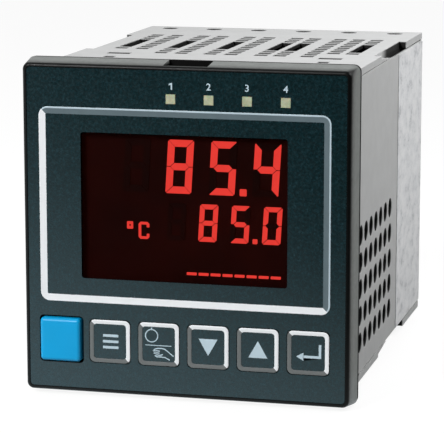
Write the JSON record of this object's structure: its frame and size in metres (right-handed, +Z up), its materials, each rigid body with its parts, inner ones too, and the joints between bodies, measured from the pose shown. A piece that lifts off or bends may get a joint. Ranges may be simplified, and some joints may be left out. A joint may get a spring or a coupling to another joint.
{
  "type": "pid temperature controller",
  "caption": "Square panel-mount process controller with a red digital display, a row of keys, a vented grey housing and a plug-in insert.",
  "frame": {"origin": "centre of the front square, on the plane where the gasket meets the panel", "axes": "+X right and +Z up as seen from the front, +Y to the rear, away from the display"},
  "size_m": [0.096, 0.1295, 0.096],
  "materials": {
    "housing_grey": "fine matt light grey moulding",
    "label_grey": "mottled light grey field",
    "gasket_black": "matt black",
    "bezel_grey": "fine matt dark grey moulding",
    "foil_dark": "satin dark membrane with a fine grain",
    "ring_silver": "satin silver line",
    "window_red": "tinted red-black filter",
    "display_black": "matt black",
    "segment_red": "luminous red",
    "lens_pale": "pale translucent",
    "cover_blue": "smooth blue moulding",
    "board_green": "solder mask",
    "connector_black": "moulded",
    "part_black": "moulded",
    "can_dark": "sleeved metal can",
    "core_steel": "stacked sheets",
    "coil_wrap": "tape over the winding",
    "terminal_dark": "moulded dark strip",
    "screw_steel": "bright zinc"
  },
  "bodies": {
    "housing": {"top_cover": "housing_grey", "bottom_cover": "housing_grey", "left_side_wall": "housing_grey", "right_side_wall": "housing_grey", "side_label": "label_grey", "mounting_collar": "housing_grey", "panel_gasket": "gasket_black", "rear_wall": "housing_grey", "rear_sockets": "connector_black", "left_terminal_block": "terminal_dark", "middle_terminal_block": "terminal_dark", "right_terminal_block": "terminal_dark", "clamp_plates": "screw_steel", "terminal_screws": "screw_steel"},
    "insert": {"front_bezel": "bezel_grey", "front_foil": "foil_dark", "display_ring": "ring_silver", "display_window": "window_red", "display_body": "display_black", "main_digits": "segment_red", "lower_digits": "segment_red", "unit_sign": "segment_red", "bargraph": "segment_red", "light_pipes": "lens_pale", "indicator_leds": "lens_pale", "interface_socket": "connector_black", "key_switches": "connector_black", "front_board": "board_green", "board_screws": "screw_steel", "board_headers": "connector_black", "relay_board": "board_green", "logic_board": "board_green", "power_board": "board_green", "relays": "part_black", "logic_chips": "part_black", "capacitors": "can_dark", "transformer_core": "core_steel", "transformer_coil": "coil_wrap"},
    "port_cover": {"port_cover": "cover_blue"},
    "menu_key": {"menu_key": "foil_dark"},
    "mode_key": {"mode_key": "foil_dark"},
    "down_key": {"down_key": "foil_dark"},
    "up_key": {"up_key": "foil_dark"},
    "enter_key": {"enter_key": "foil_dark"}
  },
  "joints": [
    {"name": "insert_slide", "type": "slide", "parent": "housing", "child": "insert", "axis": [0, -1, 0], "range_m": [0, 0.108]},
    {"name": "port_cover_pull", "type": "slide", "parent": "insert", "child": "port_cover", "axis": [0, -1, 0], "range_m": [0, 0.015]},
    {"name": "menu_key_press", "type": "slide", "parent": "insert", "child": "menu_key", "axis": [0, 1, 0], "range_m": [0, 0.0004], "stiffness_N_per_m": 400},
    {"name": "mode_key_press", "type": "slide", "parent": "insert", "child": "mode_key", "axis": [0, 1, 0], "range_m": [0, 0.0004], "stiffness_N_per_m": 400},
    {"name": "down_key_press", "type": "slide", "parent": "insert", "child": "down_key", "axis": [0, 1, 0], "range_m": [0, 0.0004], "stiffness_N_per_m": 400},
    {"name": "up_key_press", "type": "slide", "parent": "insert", "child": "up_key", "axis": [0, 1, 0], "range_m": [0, 0.0004], "stiffness_N_per_m": 400},
    {"name": "enter_key_press", "type": "slide", "parent": "insert", "child": "enter_key", "axis": [0, 1, 0], "range_m": [0, 0.0004], "stiffness_N_per_m": 400}
  ]
}
